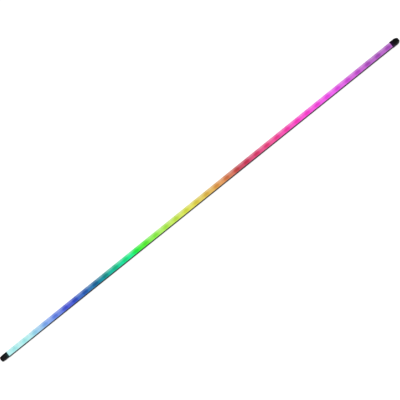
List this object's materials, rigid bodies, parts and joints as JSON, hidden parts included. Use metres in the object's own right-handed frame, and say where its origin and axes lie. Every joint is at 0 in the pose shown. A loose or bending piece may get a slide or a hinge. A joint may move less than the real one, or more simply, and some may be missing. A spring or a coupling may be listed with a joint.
{
  "type": "led light tube",
  "caption": "Long round LED light tube with a frosted half-round cover over a black back channel, colour-changing cells along its length, black end caps and a socket in each end.",
  "frame": {"origin": "centre of the flat back at mid length, on the surface the tube lies on", "axes": "+X along the tube towards the end with the dust plug, +Z out of the cover, the way the light leaves, +Y towards the side with the mode button"},
  "size_m": [2, 0.0284, 0.0262],
  "materials": {
    "black_aluminium": "black anodised, satin",
    "frosted_cover": "frosted polycarbonate, lit from inside",
    "board_white": "white solder mask",
    "board_green": "green solder mask",
    "thermal_tape": "matt silicone tape",
    "led_package": "white moulded package",
    "chip_black": "black epoxy",
    "capacitor_tan": "fired ceramic",
    "solder_tin": "tinned copper",
    "cap_black": "fine textured moulding",
    "gasket_rubber": "matt silicone",
    "plate_black": "glass-filled nylon",
    "screw_steel": "plain stainless steel",
    "screw_black": "black oxide",
    "socket_nickel": "dark nickel plate",
    "insert_black": "moulded insulator",
    "contact_gold": "gold flash",
    "switch_steel": "stamped steel cover",
    "button_black": "matt silicone",
    "plug_rubber": "soft black rubber",
    "wire_red": "silicone insulation",
    "wire_black": "silicone insulation",
    "wire_green": "silicone insulation"
  },
  "bodies": {
    "tube": {"back_channel": "black_aluminium", "diffuser_cover": "frosted_cover", "board_links": "solder_tin", "led_board_left": "board_white", "led_board_right": "board_white", "thermal_tape_left": "thermal_tape", "thermal_tape_right": "thermal_tape", "led_chips_left": "led_package", "led_chips_right": "led_package", "pixel_drivers_left": "chip_black", "pixel_drivers_right": "chip_black", "board_capacitors_left": "capacitor_tan", "board_capacitors_right": "capacitor_tan", "end_cap_left": "cap_black", "end_cap_right": "cap_black", "end_gasket_left": "gasket_rubber", "end_gasket_right": "gasket_rubber", "end_plate_left": "plate_black", "end_plate_right": "plate_black", "plate_screws_left": "screw_steel", "plate_screws_right": "screw_steel", "cap_screw_left": "screw_black", "cap_screw_right": "screw_black", "socket_shell_left": "socket_nickel", "socket_shell_right": "socket_nickel", "socket_nut_left": "socket_nickel", "socket_nut_right": "socket_nickel", "socket_oring_left": "gasket_rubber", "socket_oring_right": "gasket_rubber", "socket_insert_left": "insert_black", "socket_insert_right": "insert_black", "socket_contacts_left": "contact_gold", "socket_contacts_right": "contact_gold", "control_board": "board_green", "control_chip": "chip_black", "mode_switch": "switch_steel", "wire_positive": "wire_red", "wire_negative": "wire_black", "wire_data": "wire_green"},
    "mode_key": {"mode_button": "button_black", "switch_plunger": "chip_black"},
    "plug": {"dust_plug": "plug_rubber"}
  },
  "joints": [
    {"name": "mode_button_press", "type": "slide", "parent": "tube", "child": "mode_key", "axis": [0, -1, 0], "range_m": [0, 0.0005], "stiffness_N_per_m": 2000, "springref_m": -0.0002},
    {"name": "dust_plug_pull", "type": "slide", "parent": "tube", "child": "plug", "axis": [1, 0, 0], "range_m": [0, 0.025]}
  ]
}
